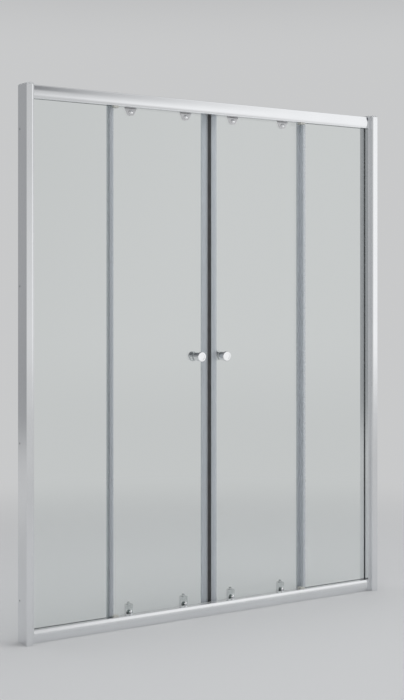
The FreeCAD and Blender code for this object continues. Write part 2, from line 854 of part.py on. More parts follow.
def make_magnet_carrier():
    """The profile on a door's meeting edge, with a tongue for the magnet strip."""
    edge, wall = -d.door_glass_inner_edge, d.seal_wall
    base, tip = edge + d.carrier_base, edge - d.carrier_length
    front, rear = d.door_glass_front, door_rear
    tongue = (front + rear) / 2 - d.tongue_width / 2 + d.fit_gap
    tongue_end = (front + rear) / 2 + d.tongue_width / 2 - d.fit_gap
    body = new_body("left_magnet_carrier")
    section = draw(new_sketch(body, "XY", d.door_glass_bottom), [
        (tip, front - wall), (base, front - wall), (base, tongue),
        (base + d.tongue_length - d.fit_gap, tongue), (base + d.tongue_length - d.fit_gap, tongue_end),
        (base, tongue_end), (base, rear + wall), (tip, rear + wall), (tip, rear), (edge, rear),
        (edge, front), (tip, front),
    ])
    pad(body, section, door_glass_height)
    return body


def make_magnet_strip():
    """The magnet that holds the two doors shut."""
    middle = d.door_glass_front + d.glass_thickness / 2
    back, face = d.carrier_base - d.door_glass_inner_edge, -d.magnet_gap
    groove_end = back + d.tongue_length
    half, groove = d.magnet_width / 2, d.tongue_width / 2
    body = new_body("left_magnet_strip")
    section = draw(new_sketch(body, "XY", d.door_glass_bottom), [
        (back, middle - half), (face, middle - half), (face, middle + half), (back, middle + half),
        (back, middle + groove), (groove_end, middle + groove), (groove_end, middle - groove),
        (back, middle - groove),
    ])
    pad(body, section, door_glass_height)
    return body


def make_rear_seal():
    """The profile on a door's outer edge, with a fin towards the fixed pane's strip."""
    edge, wall = -d.door_glass_outer_edge, d.seal_wall
    base, tip = edge - d.rear_seal_base, edge + d.rear_seal_length
    front, rear = d.door_glass_front, door_rear
    body = new_body("left_rear_seal")
    section = draw(new_sketch(body, "XY", d.door_glass_bottom), [
        (base, front - wall), (tip, front - wall), (tip, front), (edge, front), (edge, rear),
        (tip, rear), (tip, rear + wall), (base, rear + wall),
    ])
    pad(body, section, door_glass_height)
    low, high = d.rail_height + d.door_fin_end_gap, header_lip - d.door_fin_end_gap
    fin = box_corners(base, d.door_fin_front, base + d.fin_thickness, front)
    pad(body, draw(new_sketch(body, "XY", low), fin), high - low)
    return body


def knob_side(top):
    """The outer corners of a knob, from its foot on the bush's flange to the middle of its face."""
    head = top - d.knob_head_depth
    neck = head - d.knob_waist_width
    return [
        (d.knob_body_radius, d.bush_flange), (d.knob_body_radius, neck), (d.knob_waist_radius, neck),
        (d.knob_waist_radius, head), (d.knob_radius, head, d.knob_round),
        (d.knob_radius, top, d.knob_round), (d.knob_dish_radius, top),
        (d.knob_dish_radius, top - d.knob_dish_depth), (0, top - d.knob_dish_depth),
    ]


def make_outer_knob():
    """The room-side knob, with the stud that passes through the glass."""
    stud_end = -d.glass_thickness - d.stud_bite
    stud = [(0, stud_end), (d.stud_radius, stud_end), (d.stud_radius, d.bush_flange)]
    body = turned("left_outer_knob", stud + knob_side(d.outer_knob_projection))
    return place(body, -d.knob_offset, d.door_glass_front, d.knob_height, TO_ROOM)


def make_inner_knob():
    """The shower-side knob, which takes the stud's end."""
    bore, bottom = d.stud_radius + d.fit_gap, d.stud_bite + d.fit_gap
    socket = [(0, bottom), (bore, bottom), (bore, d.bush_flange)]
    body = turned("left_inner_knob", socket + knob_side(d.inner_knob_projection))
    return place(body, -d.knob_offset, door_rear, d.knob_height, TO_SHOWER)


def make_knob_bushes():
    """Flanged bushes, one from each side, that keep a knob and its stud off the glass."""
    bore, collar = d.stud_radius + d.fit_gap, d.knob_hole_radius - d.fit_gap
    collar_end = d.fit_gap - d.glass_thickness / 2
    bush = turned("knob_bush", [
        (bore, collar_end), (collar, collar_end), (collar, 0), (d.bush_radius, 0),
        (d.bush_radius, d.bush_flange), (bore, d.bush_flange),
    ])
    sides = ((d.door_glass_front, TO_ROOM), (door_rear, TO_SHOWER))
    bushes = [again(bush, -d.knob_offset, y, d.knob_height, turn) for y, turn in sides]
    return gather(bushes, "left_knob_bushes")


def make_wheel(label, x, z):
    """A grooved wheel that runs on a rail's rib, with a hub, a thinner web and a rim."""
    bore, half = d.axle_radius + d.axle_gap, d.wheel_width / 2
    bottom, mouth = d.groove_half_width, d.groove_half_width + d.groove_flare
    hub, rim, web = d.wheel_hub_radius, d.wheel_rim_radius, half - d.wheel_web_depth
    body = turned(label, [
        (bore, -half), (hub, -half), (hub, -web), (rim, -web), (rim, -half),
        (d.wheel_radius, -half), (d.wheel_radius, -mouth), (d.wheel_tread_radius, -bottom),
        (d.wheel_tread_radius, bottom), (d.wheel_radius, mouth), (d.wheel_radius, half),
        (rim, half), (rim, web), (hub, web), (hub, half), (bore, half),
    ])
    return place(body, x, d.track_centre, z, TO_ROOM)


def make_top_bracket():
    """The plate that hangs a door from two wheels, with a boss that fills the pane's hole."""
    reach = d.wheel_spacing / 2 + d.bracket_margin
    shoulder, foot = -d.bracket_margin, top_bolt_height - top_axle_height - d.bracket_foot_drop
    half_foot = d.bracket_foot_width / 2
    bolt = top_bolt_height - top_axle_height
    body = new_body("top_bracket")
    plate = pad(body, draw(new_sketch(body, "XZ", d.door_glass_front), [
        (-half_foot, foot), (half_foot, foot), (reach, shoulder), (reach, d.bracket_margin),
        (-reach, d.bracket_margin), (-reach, shoulder),
    ]), d.bracket_plate)
    doc.recompute()

    def through_plate(start, end):
        return start.x == end.x and start.z == end.z

    round_edges(body, plate, d.bracket_round, through_plate)
    boss = draw_circle(new_sketch(body, "XZ", d.door_glass_front + d.glass_thickness - d.bolt_gap),
                       0, bolt, d.bracket_boss_radius)
    pad(body, boss, d.glass_thickness - d.bolt_gap)
    pin_hole = d.axle_radius + d.fit_gap / 2
    holes = [(0, bolt, d.top_bolt_radius + d.bolt_gap)]
    holes += [(d.wheel_spacing / 2 * side, 0, pin_hole) for side in (-1, 1)]
    drill(body, "XZ", d.door_glass_front, d.glass_thickness * 2, holes)
    return body


def make_axle_pin():
    """A riveted pin for one top wheel, with a collar against the bracket and a head past the wheel."""
    collar_end = d.door_glass_front - wheel_rear - d.axle_side_gap
    head = d.door_glass_front - wheel_front + d.axle_side_gap
    return turned("axle_pin", [
        (0, 0), (d.axle_radius, 0), (d.axle_radius, d.bracket_plate), (d.collar_radius, d.bracket_plate),
        (d.collar_radius, collar_end), (d.axle_radius, collar_end), (d.axle_radius, head),
        (d.axle_head_radius, head), (d.axle_head_radius, head + d.axle_head_height),
        (0, head + d.axle_head_height),
    ])


def domed_bolt(label, radius, length, head_radius, head_height):
    """A bolt with a low domed head that stands on Z = 0."""
    return turned(label, [
        (0, -length), (radius, -length), (radius, 0), (head_radius, 0),
        (head_radius, head_height / 2, Dome()), (0, head_height),
    ])


def make_cap_nut():
    """The domed nut on a top roller's bolt."""
    bore = d.top_bolt_radius + d.fit_gap
    return turned("cap_nut", [
        (0, d.nut_bite), (bore, d.nut_bite), (bore, 0), (d.nut_radius, 0),
        (d.nut_radius, d.nut_height / 3, Dome()), (0, d.nut_height),
    ])


def make_roller_bolts():
    """The bolts and cap nuts of a door's top brackets, and the bolts of its bottom rollers."""
    top_length = d.bracket_plate + d.glass_thickness + d.nut_bite - d.bolt_gap
    top = domed_bolt("top_bolt", d.top_bolt_radius, top_length, d.top_cap_radius, d.top_cap_height)
    bottom_length = d.glass_thickness + d.bottom_bolt_bite
    bottom = domed_bolt("bottom_bolt", d.bottom_bolt_radius, bottom_length,
                        d.bottom_head_radius, d.bottom_head_height)
    nut = make_cap_nut()
    copies = []
    for x in roller_places.values():
        copies.append(again(top, x, d.door_glass_front - d.bracket_plate, top_bolt_height, TO_ROOM))
        copies.append(again(nut, x, door_rear, top_bolt_height, TO_SHOWER))
        copies.append(again(bottom, x, d.door_glass_front, d.bottom_bolt_height, TO_ROOM))
    return gather(copies, "left_roller_bolts")


def make_release_housing():
    """The body bolted behind the pane that guides a release slider and seats its spring."""
    half, glass = d.housing_width / 2, -d.rod_set_back
    rear = glass + d.housing_depth
    body = new_body("release_housing")
    section = draw(new_sketch(body, "XY", d.housing_bottom), [
        (-half, glass), (half, glass), (half, rear, d.housing_round), (-half, rear, d.housing_round),
    ])
    pad(body, section, d.housing_top - d.housing_bottom)
    boss = draw_circle(new_sketch(body, "XZ", glass), 0, d.bottom_bolt_height, d.housing_boss_radius)
    pad(body, boss, d.glass_thickness - d.bolt_gap)
    bolt_hole = d.bottom_bolt_radius + d.fit_gap
    bolt_depth = d.glass_thickness + d.bottom_bolt_bite + d.fit_gap
    drill(body, "XZ", glass - d.glass_thickness, bolt_depth * 2, [(0, d.bottom_bolt_height, bolt_hole)])
    drill(body, "XY", d.housing_top, (d.housing_top - d.housing_bottom) * 3,
          [(0, 0, d.rod_radius + d.rod_gap)])
    drill(body, "XY", d.housing_top, (d.housing_top - d.spring_seat) * 2, [(0, 0, d.spring_well_radius)])
    return body


def make_release_slider(label, x):
    """A sprung slider: button, rod, foot under the pane, and arm with the stub axle of a bottom wheel."""
    arm_rear = d.door_glass_front - d.arm_gap - rod_line
    arm_front = arm_rear - d.arm_wall
    foot_top = d.door_glass_bottom - d.foot_drop
    foot_low = foot_top - d.foot_wall
    arm_top = bottom_axle_height + d.arm_margin
    button_low = d.spring_seat + spring_length
    button_top = button_low + d.button_height
    body = new_body(label)
    hook = draw(new_sketch(body, "YZ"), [
        (arm_front, foot_low), (d.foot_wall, foot_low), (d.foot_wall, foot_top), (arm_rear, foot_top),
        (arm_rear, arm_top), (arm_front, arm_top),
    ])
    pad(body, hook, d.foot_width, middle=True)
    rod = draw(new_sketch(body, "YZ"), [
        (0, foot_low), (d.rod_radius, foot_low), (d.rod_radius, button_low), (d.button_radius, button_low),
        (d.button_radius, button_top, d.button_round), (0, button_top),
    ])
    spindle = body.newObject("PartDesign::Revolution", "Revolution")
    spindle.Profile = rod
    spindle.ReferenceAxis = (rod, ["V_Axis"])
    spindle.Angle = 360
    collar_end = wheel_rear + d.axle_side_gap - rod_line
    head = wheel_front - d.axle_side_gap - rod_line
    for start, end, radius in (
        (arm_front, collar_end, d.collar_radius),
        (arm_front, head, d.axle_radius),
        (head, head - d.axle_head_height, d.axle_head_radius),
    ):
        stub = draw_circle(new_sketch(body, "XZ", start), 0, bottom_axle_height, radius)
        pad(body, stub, start - end)
    return place(body, x=x, y=rod_line)


def arc_from(start, tangent, end):
    """The arc that leaves a point along a tangent and ends at another point."""
    chord = end - start
    lean = tangent.getAngle(chord)
    side = tangent - chord * (tangent.dot(chord) / chord.dot(chord))
    side.normalize()
    return Part.Arc(start, start + chord / 2 + side * (chord.Length / 2 * math.tan(lean / 2)), end)


def biarc(start, start_tangent, end, end_tangent):
    """Two arcs that join two points and their tangents smoothly."""
    chord, both = end - start, start_tangent + end_tangent
    turning = 2 * (1 - start_tangent.dot(end_tangent))
    lean = chord.dot(both)
    reach = (math.sqrt(lean * lean + turning * chord.dot(chord)) - lean) / turning
    middle = (start + end + (start_tangent - end_tangent) * reach) / 2
    arcs = [arc_from(start, start_tangent, middle), arc_from(end, end_tangent * -1, middle)]
    return [arc.toShape() for arc in arcs]


def coil_path(radius, low, high, turns):
    """A helix about Z as smooth arcs, a quarter turn at a time."""
    quarters = turns * 4
    climb = (high - low) / quarters

    def point(index):
        angle = index * math.pi / 2
        return FreeCAD.Vector(radius * math.cos(angle), radius * math.sin(angle), low + climb * index)

    def tangent(index):
        angle = index * math.pi / 2
        along = FreeCAD.Vector(-math.sin(angle), math.cos(angle), climb / (radius * math.pi / 2))
        return along.normalize()

    edges = []
    for index in range(quarters):
        edges += biarc(point(index), tangent(index), point(index + 1), tangent(index + 1))
    return Part.Wire(edges), point(0), tangent(0)


def coil_gap(radius, low, high, turns, wire_radius):
    """The least gap between neighbouring turns, measured on points one turn apart."""
    steps = 24
    climb = (high - low) / (turns * steps)

    def point(index):
        angle = 2 * math.pi * index / steps
        return FreeCAD.Vector(radius * math.cos(angle), radius * math.sin(angle), climb * index)

    centres = [point(index) for index in range(turns * steps + 1)]
    spans = [(upper - lower).Length for lower, upper in zip(centres, centres[steps:])]
    return min(spans) - 2 * wire_radius


def make_release_spring(label, x):
    """The coil under a release button, which pushes the slider and its wheel up against the rib."""
    wire, radius = d.spring_wire_radius.number, d.spring_radius.number
    low = d.spring_seat.number + wire + d.fit_gap.number
    high = d.spring_seat.number + spring_length.number - wire - d.fit_gap.number
    path, start, tangent = coil_path(radius, low, high, SPRING_TURNS)
    section = Part.Wire(Part.Circle(start, tangent, wire).toShape())
    spring = doc.addObject("Part::Feature", label)
    spring.Shape = path.makePipeShell([section], True, False)
    place(spring, x=x, y=rod_line)
    print(f"{label}: least gap between turns {coil_gap(radius, low, high, SPRING_TURNS, wire):.2f}")
    return spring


def make_frame():
    """Everything that is fixed to the walls."""
    make_rail("header_rail", header_lip, UPRIGHT)
    make_rail("bottom_rail", d.rail_height, TURNED_OVER)
    both_sides(make_wall_channel(), "wall_channel")
    both_sides(make_jamb_post(), "jamb_post")
    both_sides(make_fixed_glass(), "fixed_glass")
    make_end_caps()
    make_jamb_gaskets()
    make_rail_gaskets()
    make_slot_covers()
    make_edge_strips()
    make_glass_clips()
    make_door_stops()
    make_corner_screws()
    make_channel_screws()


def make_doors():
    """The two sliding panes with their seals, knobs and rollers."""
    both_sides(make_door_glass(), "door_glass")
    both_sides(make_magnet_carrier(), "magnet_carrier")
    both_sides(make_magnet_strip(), "magnet_strip")
    both_sides(make_rear_seal(), "rear_seal")
    both_sides(make_outer_knob(), "outer_knob")
    both_sides(make_inner_knob(), "inner_knob")
    both_sides(make_knob_bushes(), "knob_bushes")
    both_sides(make_roller_bolts(), "roller_bolts")
    bracket, pin, housing = make_top_bracket(), make_axle_pin(), make_release_housing()
    axles = [x + d.wheel_spacing / 2 * side for x in roller_places.values() for side in (1, -1)]
    brackets = [again(bracket, x=x, z=top_axle_height) for x in roller_places.values()]
    both_sides(gather(brackets, "left_top_brackets"), "top_brackets")
    pins = [again(pin, x, d.door_glass_front, top_axle_height, TO_ROOM) for x in axles]
    both_sides(gather(pins, "left_axle_pins"), "axle_pins")
    housings = [again(housing, x=x, y=rod_line) for x in roller_places.values()]
    both_sides(gather(housings, "left_release_housings"), "release_housings")
    for number, x in enumerate(axles, start=1):
        both_sides(make_wheel(f"left_top_wheel_{number}", x, top_axle_height), f"top_wheel_{number}")
    for which, x in roller_places.items():
        both_sides(make_release_slider(f"left_{which}_slider", x), f"{which}_release_slider")
        both_sides(make_wheel(f"left_{which}_wheel", x, bottom_axle_height), f"{which}_bottom_wheel")
        both_sides(make_release_spring(f"left_{which}_spring", x), f"{which}_release_spring")


def check_pieces():
    """Stop if any feature failed or any finished piece is empty or invalid."""
    failed = [item.Label for item in doc.Objects if {"Invalid", "Error"} & set(item.State)]
    failed += [item.Label for item in nodes if item.Shape.isNull() or not item.Shape.isValid()]
    if failed:
        raise RuntimeError(f"These pieces failed: {failed}")


def write_pieces():
    """Write each finished piece under its own name."""
    os.makedirs("parts", exist_ok=True)
    for item in nodes:
        item.Shape.exportStep(f"parts/{item.Label}.step")


make_frame()
make_doors()
doc.recompute()
check_pieces()
write_pieces()
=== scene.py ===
import json
import math

import bmesh
import bpy
from bpy.props import FloatProperty, FloatVectorProperty, IntProperty, PointerProperty
from mathutils import Matrix, Vector


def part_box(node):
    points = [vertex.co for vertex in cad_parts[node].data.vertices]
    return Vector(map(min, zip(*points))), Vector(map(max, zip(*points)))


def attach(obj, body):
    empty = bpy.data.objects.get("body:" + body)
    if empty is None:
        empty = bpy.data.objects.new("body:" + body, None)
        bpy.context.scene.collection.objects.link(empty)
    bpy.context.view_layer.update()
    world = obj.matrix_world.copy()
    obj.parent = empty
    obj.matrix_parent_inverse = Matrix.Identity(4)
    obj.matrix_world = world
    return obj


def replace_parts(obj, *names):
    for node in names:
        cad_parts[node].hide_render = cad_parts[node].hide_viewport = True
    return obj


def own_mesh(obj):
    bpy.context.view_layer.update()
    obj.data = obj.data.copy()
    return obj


bl_info = {
    "name": "Sliding shower door",
    "version": (1, 0, 0),
    "blender": (4, 5, 0),
    "location": "3D View > Sidebar > Shower Door",
    "description": "Finishes, panes, coils and studio for a sliding shower door",
    "category": "Object",
}

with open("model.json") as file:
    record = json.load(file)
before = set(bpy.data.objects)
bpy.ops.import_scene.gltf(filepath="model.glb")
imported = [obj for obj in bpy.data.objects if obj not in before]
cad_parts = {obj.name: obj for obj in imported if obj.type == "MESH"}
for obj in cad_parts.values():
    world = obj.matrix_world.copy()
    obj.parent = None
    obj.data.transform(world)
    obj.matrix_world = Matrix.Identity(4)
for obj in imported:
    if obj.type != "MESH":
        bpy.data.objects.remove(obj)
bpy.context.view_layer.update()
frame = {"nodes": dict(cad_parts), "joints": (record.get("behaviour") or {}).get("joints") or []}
SIDES = ("left", "right")
QUARTER_TURN = Matrix.Rotation(math.radians(90), 4, "X")

# How noise is drawn out so that its lines run along a length.
LENGTHWAYS = {"X": (1.5, 700, 700), "Z": (700, 700, 1.5)}
# The share of light that glass mirrors when it is faced squarely.
GLASS_GLOSS = 0.042
# Points on one turn of a coil.
COIL_STEPS = 24
# How far from the middle, in metres, the floor fades out and the distance takes on its shade.
FLOOR_FADE, SHADE_FADE = (0.9, 3.6), (4.0, 9.0)
# Cosines of the turn away from the wide soft light at which the shade begins and is full.
SHADE_SIDE = (-0.66, -0.93)
# Cosines of the turn between which the ceiling rises towards that light, and how far it rises.
CEILING_SIDE, CEILING_RISE = (0.86, 0.97), 0.6
# Sines of the angles above level where the distance starts and ends turning into the ceiling.
CEILING_EDGE = (0.18, 0.38)
# The wide soft light's size and distance in metres.
GLOW_WIDTH, GLOW_HEIGHT, GLOW_REACH = 11.0, 6.0, 6.0
# Shares of its width and height over which it fades in, and how far its left edge leans.
GLOW_LEFT, GLOW_FOOT, GLOW_LEAN = (-0.05, 0.22), (0.0, 0.14), 0.25
# The camera's place in metres and its turn to the right in degrees.
EYE, EYE_TURN = (-2.602, -3.948, 1.1445), 33
# The photograph's height, and how far its middle lies below the horizon, in pixels.
PICTURE_HEIGHT, HORIZON_DROP = 700, 53


def colour(name, description, default):
    """A colour that a user can change."""
    return FloatVectorProperty(
        name=name, description=description, default=default, min=0, max=1,
        size=3, subtype="COLOR")


def length(name, description, default):
    """A length that a user can change, in metres."""
    return FloatProperty(
        name=name, description=description, default=default, min=0, precision=4,
        subtype="DISTANCE", unit="LENGTH")


class DoorColours(bpy.types.PropertyGroup):
    """The colours of the door's finishes."""

    aluminium: colour(
        "Aluminium", "Polished extrusions of the rails and jambs", (0.86, 0.87, 0.885))
    chrome: colour("Chrome", "Knobs, bolt heads and cap nuts", (0.93, 0.935, 0.945))
    glass_tint: colour("Glass tint", "What one face of a pane lets through", (0.968, 0.980, 0.975))
    glass_edge: colour("Glass edge", "The ground edges of the panes", (0.16, 0.34, 0.30))
    clear_profile: colour(
        "Clear profile", "Seals and edge strips of clear plastic", (0.84, 0.87, 0.91))
    clip: colour("Clip", "Corner clips of the fixed panes", (0.60, 0.60, 0.56))
    bush: colour("Bush", "Bushes between the knobs and the glass", (0.72, 0.73, 0.74))
    magnet: colour("Magnet", "Magnet strips on the meeting edges", (0.022, 0.022, 0.024))
    gasket: colour("Gasket", "Glazing gaskets", (0.20, 0.21, 0.22))
    slot_cover: colour(
        "Slot cover", "Covers in the empty stretch of the rails' slots", (0.56, 0.57, 0.58))
    nylon: colour("Nylon", "Wheels", (0.78, 0.77, 0.73))
    release: colour(
        "Release units", "Housings and sliders of the bottom rollers", (0.74, 0.745, 0.755))
    steel: colour("Steel", "Brackets, axle pins, screws and coils", (0.60, 0.60, 0.61))
    cap: colour("Cap", "End caps and screw caps", (0.66, 0.67, 0.68))
    rubber: colour("Rubber", "Stops in the header's track", (0.03, 0.03, 0.03))


class DoorSizes(bpy.types.PropertyGroup):
    """The sizes of what is built here."""

    pane_arris: length("Pane arris", "Width of the ground bevel round each pane and hole", 0.0006)
    pane_relief: length(
        "Pane relief", "How far a pane's faces stay clear of what touches them", 0.00005)
    knob_hole: length("Knob hole", "Radius of a door's hole for its knob", 0.006)
    top_hole: length("Top roller hole", "Radius of a door's holes for its top rollers", 0.006)
    top_hole_height: length("Top roller height", "Height of the top rollers' holes", 1.788)
    bottom_hole: length(
        "Bottom roller hole", "Radius of a door's holes for its bottom rollers", 0.0045)
    bottom_hole_height: length("Bottom roller height", "Height of the bottom rollers' holes", 0.047)
    coil_wire: length("Coil wire", "Thickness of the release coils' wire", 0.001)
    coil_turns: IntProperty(
        name="Coil turns", description="Turns of a release coil", default=5, min=2)
    coil_flat: FloatProperty(
        name="Flat turn", description="Share of a turn that lies flat at each end of a coil",
        default=0.6, min=0, max=1)


class DoorStage(bpy.types.PropertyGroup):
    """The studio round the door."""

    floor: colour("Floor", "The studio's pale floor", (0.78, 0.785, 0.79))
    backdrop: colour("Backdrop", "The pale distance", (0.58, 0.585, 0.59))
    shade: colour(
        "Shade", "The distance behind on the left, away from the light", (0.32, 0.325, 0.335))
    ceiling: colour("Ceiling", "What bright metal shows from above", (0.14, 0.145, 0.155))
    glow: FloatProperty(
        name="Glow", description="Brightness of the wide soft light in front", default=0.42, min=0)
    glow_turn: FloatProperty(
        name="Glow turn", description="How far the wide soft light stands round to the right",
        default=math.radians(56), subtype="ANGLE")
    top_power: FloatProperty(
        name="Top", description="Power of the soft box overhead", default=140, min=0, unit="POWER")
    lens: FloatProperty(
        name="Lens", description="Focal length of the camera in millimetres", default=67.3, min=1)


class Reading:
    """A value read on a surface. Sums and products of readings add Math nodes."""

    def __init__(self, finish, socket):
        self.finish = finish
        self.socket = socket

    def worked(self, operation, first, second=0.0):
        """What a Math node makes of one or two values."""
        sockets = {0: first, 1: second}
        return self.finish.read("ShaderNodeMath", 0, {"operation": operation}, sockets)

    def __add__(self, other):
        return self.worked("ADD", self, other)

    def __radd__(self, other):
        return self.worked("ADD", other, self)

    def __sub__(self, other):
        return self.worked("SUBTRACT", self, other)

    def __rsub__(self, other):
        return self.worked("SUBTRACT", other, self)

    def __mul__(self, other):
        return self.worked("MULTIPLY", self, other)

    def __rmul__(self, other):
        return self.worked("MULTIPLY", other, self)

    def __pow__(self, other):
        return self.worked("POWER", self, other)

    def __rpow__(self, other):
        return self.worked("POWER", other, self)

    def __gt__(self, other):
        return self.worked("GREATER_THAN", self, other)

    def __lt__(self, other):
        return self.worked("LESS_THAN", self, other)

    def __abs__(self):
        return self.worked("ABSOLUTE", self)


class Finish:
    """A node tree and the means to build it."""

    def __init__(self, tree):
        self.tree = tree
        tree.nodes.clear()

    def node(self, kind, settings=None, sockets=None):
        """Add a node: its settings first, then the values or links of its sockets."""
        node = self.tree.nodes.new(kind)
        for name, value in (settings or {}).items():
            setattr(node, name, value)
        for name, value in (sockets or {}).items():
            source = getattr(value, "socket", value)
            if isinstance(source, bpy.types.NodeSocket):
                self.tree.links.new(source, node.inputs[name])
            else:
                node.inputs[name].default_value = source
        return node

    def read(self, kind, output, settings=None, sockets=None):
        """Add a node and take one of its outputs."""
        return Reading(self, self.node(kind, settings, sockets).outputs[output])

    def mixed(self, factor, first, second):
        """One colour blended into another."""
        sockets = {0: factor, 6: opaque(first), 7: opaque(second)}
        return self.read("ShaderNodeMix", 2, {"data_type": "RGBA"}, sockets)

    def vector(self, operation, first, second=(0, 0, 0), output="Vector"):
        """Vector Math on places and directions."""
        sockets = {0: first, 1: second}
        return self.read("ShaderNodeVectorMath", output, {"operation": operation}, sockets)

    def along(self, axis, vector):
        """One axis of a place or direction."""
        return self.read("ShaderNodeSeparateXYZ", axis, None, {0: vector})

    def noise(self, scale, stretch=(1, 1, 1), detail=2):
        """Cloudy noise in the door's own space, drawn out along its axes."""
        drawn = self.vector("MULTIPLY", self.read("ShaderNodeTexCoord", "Object"), stretch)
        sockets = {"Vector": drawn, "Scale": scale, "Detail": detail}
        return self.read("ShaderNodeTexNoise", 0, None, sockets)

    def normal_axis(self, axis):
        """How far a face looks along one of the door's axes, from -1 to 1."""
        return self.along(axis, self.read("ShaderNodeTexCoord", "Normal"))

    def bump(self, height, strength, distance):
        """A bumped normal."""
        sockets = {"Height": height, "Strength": strength, "Distance": distance}
        return self.read("ShaderNodeBump", 0, None, sockets)

    def eased(self, value, start, end):
        """A smooth step from 0 at the start to 1 at the end."""
        sockets = {0: value, 1: start, 2: end, 3: 0.0, 4: 1.0}
        return self.read("ShaderNodeMapRange", 0, {"interpolation_type": "SMOOTHSTEP"}, sockets)

    def shader(self, kind, **sockets):
        """A shader, its sockets named with underscores for spaces."""
        spaced = {name.replace("_", " "): value for name, value in sockets.items()}
        return self.read(kind, 0, None, spaced)

    def principled(self, **sockets):
        """The general surface shader."""
        return self.shader("ShaderNodeBsdfPrincipled", **sockets)

    def layered(self, factor, below, above):
        """One shader laid over another."""
        return self.read("ShaderNodeMixShader", 0, None, {0: factor, 1: below, 2: above})

    def end(self, surface, kind="ShaderNodeOutputMaterial"):
        """Connect the finished shader."""
        self.node(kind, None, {"Surface": surface})


def opaque(value):
    """A colour with its alpha, or a reading as it is."""
    return value if isinstance(value, Reading) else (*value, 1.0)


def paler(tone, amount):
    """A colour moved towards white by an amount, or towards black by a negative one."""
    goal = 1.0 if amount > 0 else 0.0
    return tuple(part + (goal - part) * abs(amount) for part in tone)


def new_finish(name):
    """A fresh material and its node builder."""
    material = bpy.data.materials.new(name)
    material.use_nodes = True
    return material, Finish(material.node_tree)


def polished_metal(name, tone, roughness, along):
    """Bright extrusion with faint draw lines along its length and a little handling haze."""
    material, finish = new_finish(name)
    lines = finish.noise(1.0, stretch=LENGTHWAYS[along], detail=3)
    haze = finish.noise(6.0, detail=4)
    finish.end(finish.principled(
        Base_Color=finish.mixed(haze, paler(tone, -0.06), paler(tone, 0.18)),
        Metallic=1.0,
        Roughness=roughness + haze * 0.05 + lines * 0.04,
        Normal=finish.bump(lines, strength=0.05, distance=0.0004),
    ))
    return material


def plated_metal(name, tone, roughness):
    """Bright plating with a breath of dried water on it."""
    material, finish = new_finish(name)
    haze = finish.noise(40.0, detail=4)
    spots = finish.noise(420.0, detail=1) > 0.7
    finish.end(finish.principled(
        Base_Color=finish.mixed(haze, paler(tone, -0.05), tone),
        Metallic=1.0,
        Roughness=roughness + haze * 0.04 + spots * 0.06,
        Normal=finish.bump(haze, strength=0.02, distance=0.0003),
    ))
    return material


def pane_glass(name, tint, edge):
    """Clear float glass: a faint tint, gloss by angle, and deep green ground edges."""
    material, finish = new_finish(name)
    streaks = finish.noise(2.0, stretch=(3, 1, 0.5), detail=3)
    through = finish.shader("ShaderNodeBsdfTransparent", Color=opaque(tint))
    mirror = finish.principled(
        Base_Color=opaque((0.97, 0.985, 0.98)), Metallic=1.0,
        Roughness=0.012 + streaks * 0.02)
    slant = finish.read("ShaderNodeLayerWeight", "Facing", None, {"Blend": 0.5})
    face = finish.layered(GLASS_GLOSS + slant ** 5 * (1 - GLASS_GLOSS), through, mirror)
    clouds = finish.noise(90.0, stretch=(1, 1, 0.1))
    rim = finish.principled(
        Base_Color=finish.mixed(clouds, paler(edge, -0.2), paler(edge, 0.12)),
        Roughness=0.22 + clouds * 0.12, Alpha=0.55 + clouds * 0.2)
    outward = abs(finish.normal_axis("Y"))
    finish.end(finish.layered(1.0 - outward, face, rim))
    return material


def clear_plastic(name, tone):
    """Soft clear profile: cloudy, with draw lines, and more solid where it turns away."""
    material, finish = new_finish(name)
    lines = finish.noise(1.0, stretch=(900, 900, 1.2), detail=3)
    turn = finish.read("ShaderNodeLayerWeight", "Facing", None, {"Blend": 0.35})
    through = finish.shader("ShaderNodeBsdfTransparent", Color=opaque((0.93, 0.945, 0.96)))
    body = finish.principled(
        Base_Color=finish.mixed(lines, paler(tone, -0.12), paler(tone, 0.2)),
        Roughness=0.22 + lines * 0.14,
        Normal=finish.bump(lines, strength=0.12, distance=0.0005),
    )
    finish.end(finish.layered(0.26 + turn * 0.36 + lines * 0.10, through, body))
    return material


def moulded(name, tone, roughness, grain, depth):
    """Moulded plastic or rubber with a fine grain."""
    material, finish = new_finish(name)
    pores = finish.noise(grain, detail=3)
    clouds = finish.noise(35.0)
    finish.end(finish.principled(
        Base_Color=finish.mixed(clouds, paler(tone, -0.08), paler(tone, 0.05)),
        Roughness=roughness + pores * 0.14,
        Normal=finish.bump(pores, strength=depth, distance=0.0003),
    ))
    return material


def brushed_steel(name, tone, along):
    """Stamped or turned steel with a brushed grain."""
    material, finish = new_finish(name)
    grain = finish.noise(1.0, stretch=LENGTHWAYS[along])
    clouds = finish.noise(50.0, detail=3)
    finish.end(finish.principled(
        Base_Color=finish.mixed(clouds, paler(tone, -0.1), paler(tone, 0.12)),
        Metallic=1.0,
        Roughness=0.24 + grain * 0.14,
        Normal=finish.bump(grain, strength=0.15, distance=0.0003),
    ))
    return material


def corners(node):
    """The lowest and the highest corner of a node's box."""
    low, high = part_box(node)
    return Vector(low), Vector(high)


def middle(node):
    """The centre of a node's box."""
    low, high = corners(node)
    return (low + high) / 2


def mesh_of(curve):
    """The mesh that a curve makes."""
    carrier = bpy.data.objects.new(curve.name, curve)
    mesh = bpy.data.meshes.new_from_object(carrier)
    bpy.data.objects.remove(carrier)
    return mesh


def put(name, mesh, material, body, node):
    """Place a built piece on its body, with its finish, in a node's stead."""
    mesh.materials.clear()
    mesh.materials.append(material)
    piece = bpy.data.objects.new(name, mesh)
    bpy.context.scene.collection.objects.link(piece)
    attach(piece, body)
    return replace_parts(piece, node)


